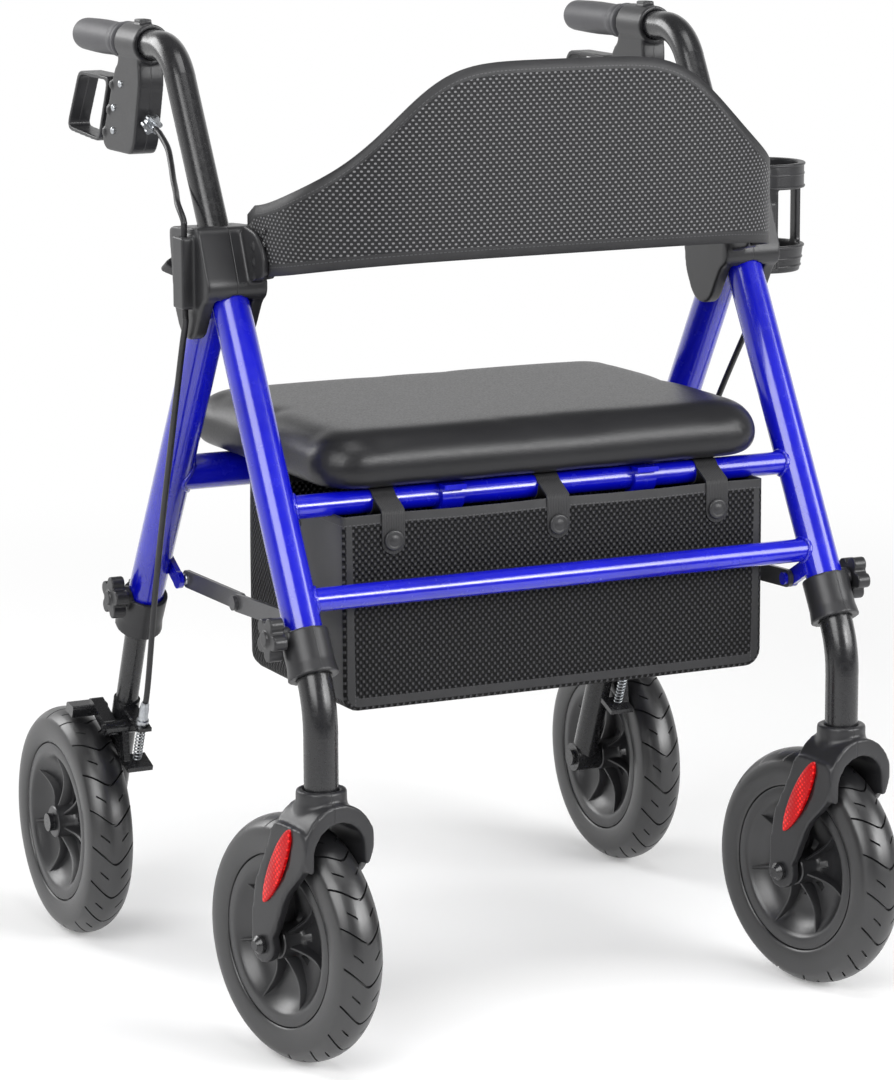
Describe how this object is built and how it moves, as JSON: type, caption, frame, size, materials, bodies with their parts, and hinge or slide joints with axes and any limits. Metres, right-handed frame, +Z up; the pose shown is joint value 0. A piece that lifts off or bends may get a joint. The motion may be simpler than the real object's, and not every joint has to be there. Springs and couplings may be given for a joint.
{
  "type": "rollator walker",
  "caption": "Folding wheeled walking frame with swivel front casters, padded flip-up seat, under-seat bag, bowed backrest band, height-adjustable handles and loop hand brakes.",
  "frame": {"origin": "on the floor, on the middle plane, midway between the front and rear wheels", "axes": "+Z up, -Y the way the walker rolls (front), +Y towards the walking user, +X to the side of the cup holder"},
  "size_m": [0.7241, 0.7065, 0.9198],
  "materials": {
    "blue_paint": "glossy powder coat",
    "grey_tube": "satin dark grey coat",
    "dark_plastic": "fine moulded grain",
    "rim_plastic": "smooth moulded grey",
    "tyre_foam": "matt solid polyurethane",
    "grip_rubber": "soft ribbed elastomer",
    "bright_steel": "zinc plated",
    "strut_steel": "grey coated flat bar",
    "red_lens": "clear red with prism backing",
    "bag_cloth": "woven nylon",
    "band_cloth": "open woven mesh with bound edges",
    "pad_cover": "padded vinyl-faced cloth",
    "cable_jacket": "satin black jacket"
  },
  "bodies": {
    "front_assembly": {"front_frame": "blue_paint", "housing_l": "dark_plastic", "housing_r": "dark_plastic", "backrest": "band_cloth", "collar_fl": "dark_plastic", "collar_fr": "dark_plastic", "cup_holder": "dark_plastic", "bag": "bag_cloth", "cable_l": "cable_jacket", "cable_r": "cable_jacket"},
    "rear_assembly": {"rear_frame": "blue_paint", "collar_rl": "dark_plastic", "collar_rr": "dark_plastic"},
    "seat": {"seat_board": "dark_plastic", "seat_clips": "dark_plastic", "seat_cushion": "pad_cover"},
    "handle_set_l": {"handle_l": "grey_tube", "grip_l": "grip_rubber", "bracket_l": "dark_plastic", "adjuster_l": "bright_steel"},
    "brake_lever_l": {"lever_l": "dark_plastic"},
    "post_knob_l": {"knob_hl": "dark_plastic"},
    "leg_knob_fl": {"knob_fl": "dark_plastic"},
    "strut_bar_fl": {"strut_fl": "strut_steel"},
    "wheel_fl": {"rim_fl": "rim_plastic", "tyre_fl": "tyre_foam"},
    "leg_knob_rl": {"knob_rl": "dark_plastic"},
    "strut_bar_rl": {"strut_rl": "strut_steel"},
    "wheel_rl": {"rim_rl": "rim_plastic", "tyre_rl": "tyre_foam"},
    "front_leg_l": {"leg_fl": "grey_tube"},
    "caster_l": {"fork_fl": "dark_plastic", "reflector_fl": "red_lens", "axle_fl": "bright_steel"},
    "rear_leg_l": {"leg_rl": "grey_tube", "axle_rl": "bright_steel", "spring_l": "bright_steel"},
    "brake_shoe_l": {"shoe_l": "grey_tube"},
    "handle_set_r": {"handle_r": "grey_tube", "grip_r": "grip_rubber", "bracket_r": "dark_plastic", "adjuster_r": "bright_steel"},
    "brake_lever_r": {"lever_r": "dark_plastic"},
    "post_knob_r": {"knob_hr": "dark_plastic"},
    "leg_knob_fr": {"knob_fr": "dark_plastic"},
    "strut_bar_fr": {"strut_fr": "strut_steel"},
    "wheel_fr": {"rim_fr": "rim_plastic", "tyre_fr": "tyre_foam"},
    "leg_knob_rr": {"knob_rr": "dark_plastic"},
    "strut_bar_rr": {"strut_rr": "strut_steel"},
    "wheel_rr": {"rim_rr": "rim_plastic", "tyre_rr": "tyre_foam"},
    "front_leg_r": {"leg_fr": "grey_tube"},
    "caster_r": {"fork_fr": "dark_plastic", "reflector_fr": "red_lens", "axle_fr": "bright_steel"},
    "rear_leg_r": {"leg_rr": "grey_tube", "axle_rr": "bright_steel", "spring_r": "bright_steel"},
    "brake_shoe_r": {"shoe_r": "grey_tube"}
  },
  "joints": [
    {"name": "fold", "type": "hinge", "parent": "front_assembly", "child": "rear_assembly", "pos_m": [0, -0.0484, 0.6705], "axis": [-1, 0, 0], "range_deg": [0, 22], "deforming": ["bag", "cable_l", "cable_r"]},
    {"name": "seat_flip", "type": "hinge", "parent": "front_assembly", "child": "seat", "pos_m": [0, -0.18913, 0.499], "axis": [1, 0, 0], "range_deg": [0, 50]},
    {"name": "handle_height_l", "type": "slide", "parent": "front_assembly", "child": "handle_set_l", "axis": [0, 0.4924, 0.8704], "range_m": [-0.03, 0.09], "deforming": ["cable_l"]},
    {"name": "lever_squeeze_l", "type": "hinge", "parent": "handle_set_l", "child": "brake_lever_l", "pos_m": [-0.27, 0.171, 0.83], "axis": [1, 0, 0], "range_deg": [0, 10], "stiffness_Nm_per_rad": 3, "springref_deg": -8.59},
    {"name": "post_knob_turn_l", "type": "hinge", "parent": "front_assembly", "child": "post_knob_l", "pos_m": [-0.27, -0.05787, 0.731], "axis": [0, 0.8704, -0.4924], "range_deg": [-180, 180]},
    {"name": "leg_knob_turn_fl", "type": "hinge", "parent": "front_assembly", "child": "leg_knob_fl", "pos_m": [-0.3, -0.24811, 0.39475], "axis": [-1, 0, 0], "range_deg": [-180, 180]},
    {"name": "leg_knob_turn_rl", "type": "hinge", "parent": "rear_assembly", "child": "leg_knob_rl", "pos_m": [-0.3, 0.13215, 0.36154], "axis": [-1, 0, 0], "range_deg": [-180, 180]},
    {"name": "front_leg_length_l", "type": "slide", "parent": "front_assembly", "child": "front_leg_l", "axis": [0, -0.4924, -0.8704], "range_m": [0, 0.06]},
    {"name": "rear_leg_length_l", "type": "slide", "parent": "rear_assembly", "child": "rear_leg_l", "axis": [0, 0.5045, -0.8634], "range_m": [0, 0.06], "deforming": ["cable_l"]},
    {"name": "caster_swivel_l", "type": "hinge", "parent": "front_leg_l", "child": "caster_l", "pos_m": [-0.27, -0.281, 0.25], "axis": [0, 0, 1], "continuous": true},
    {"name": "wheel_roll_fl", "type": "hinge", "parent": "caster_l", "child": "wheel_fl", "pos_m": [-0.27801, -0.23977, 0.1143], "axis": [0.9816, 0.1908, 0], "continuous": true},
    {"name": "wheel_roll_rl", "type": "hinge", "parent": "rear_leg_l", "child": "wheel_rl", "pos_m": [-0.308, 0.2394, 0.1143], "axis": [1, 0, 0], "continuous": true},
    {"name": "shoe_press_l", "type": "hinge", "parent": "rear_leg_l", "child": "brake_shoe_l", "pos_m": [-0.27, 0.17286, 0.22122], "axis": [-1, 0, 0], "range_deg": [0, 4.6], "deforming": ["spring_l"]},
    {"name": "strut_fold_fl", "type": "hinge", "parent": "front_assembly", "child": "strut_bar_fl", "pos_m": [-0.249, -0.21455, 0.39193], "axis": [1, 0, 0], "range_deg": [0, 34.06]},
    {"name": "strut_fold_rl", "type": "hinge", "parent": "rear_assembly", "child": "strut_bar_rl", "pos_m": [-0.244, 0.08656, 0.38247], "axis": [-1, 0, 0], "range_deg": [0, 50.29]},
    {"name": "handle_height_r", "type": "slide", "parent": "front_assembly", "child": "handle_set_r", "axis": [0, 0.4924, 0.8704], "range_m": [-0.03, 0.09], "deforming": ["cable_r"]},
    {"name": "lever_squeeze_r", "type": "hinge", "parent": "handle_set_r", "child": "brake_lever_r", "pos_m": [0.27, 0.171, 0.83], "axis": [1, 0, 0], "range_deg": [0, 10], "stiffness_Nm_per_rad": 3, "springref_deg": -8.59},
    {"name": "post_knob_turn_r", "type": "hinge", "parent": "front_assembly", "child": "post_knob_r", "pos_m": [0.27, -0.05787, 0.731], "axis": [0, 0.8704, -0.4924], "range_deg": [-180, 180]},
    {"name": "leg_knob_turn_fr", "type": "hinge", "parent": "front_assembly", "child": "leg_knob_fr", "pos_m": [0.3, -0.24811, 0.39475], "axis": [1, 0, 0], "range_deg": [-180, 180]},
    {"name": "leg_knob_turn_rr", "type": "hinge", "parent": "rear_assembly", "child": "leg_knob_rr", "pos_m": [0.3, 0.13215, 0.36154], "axis": [1, 0, 0], "range_deg": [-180, 180]},
    {"name": "front_leg_length_r", "type": "slide", "parent": "front_assembly", "child": "front_leg_r", "axis": [0, -0.4924, -0.8704], "range_m": [0, 0.06]},
    {"name": "rear_leg_length_r", "type": "slide", "parent": "rear_assembly", "child": "rear_leg_r", "axis": [0, 0.5045, -0.8634], "range_m": [0, 0.06], "deforming": ["cable_r"]},
    {"name": "caster_swivel_r", "type": "hinge", "parent": "front_leg_r", "child": "caster_r", "pos_m": [0.27, -0.281, 0.25], "axis": [0, 0, 1], "continuous": true},
    {"name": "wheel_roll_fr", "type": "hinge", "parent": "caster_r", "child": "wheel_fr", "pos_m": [0.26199, -0.23977, 0.1143], "axis": [0.9816, 0.1908, 0], "continuous": true},
    {"name": "wheel_roll_rr", "type": "hinge", "parent": "rear_leg_r", "child": "wheel_rr", "pos_m": [0.308, 0.2394, 0.1143], "axis": [1, 0, 0], "continuous": true},
    {"name": "shoe_press_r", "type": "hinge", "parent": "rear_leg_r", "child": "brake_shoe_r", "pos_m": [0.27, 0.17286, 0.22122], "axis": [-1, 0, 0], "range_deg": [0, 4.6], "deforming": ["spring_r"]},
    {"name": "strut_fold_fr", "type": "hinge", "parent": "front_assembly", "child": "strut_bar_fr", "pos_m": [0.249, -0.21455, 0.39193], "axis": [1, 0, 0], "range_deg": [0, 34.06]},
    {"name": "strut_fold_rr", "type": "hinge", "parent": "rear_assembly", "child": "strut_bar_rr", "pos_m": [0.244, 0.08656, 0.38247], "axis": [-1, 0, 0], "range_deg": [0, 50.29]}
  ],
  "couplings": [
    {"joint": "shoe_press_l", "follows": "lever_squeeze_l", "ratio": 0.45},
    {"joint": "strut_fold_fl", "follows": "fold", "ratio": 1.5392},
    {"joint": "strut_fold_rl", "follows": "fold", "ratio": 2.2766},
    {"joint": "shoe_press_r", "follows": "lever_squeeze_r", "ratio": 0.45},
    {"joint": "strut_fold_fr", "follows": "fold", "ratio": 1.5392},
    {"joint": "strut_fold_rr", "follows": "fold", "ratio": 2.2766}
  ]
}
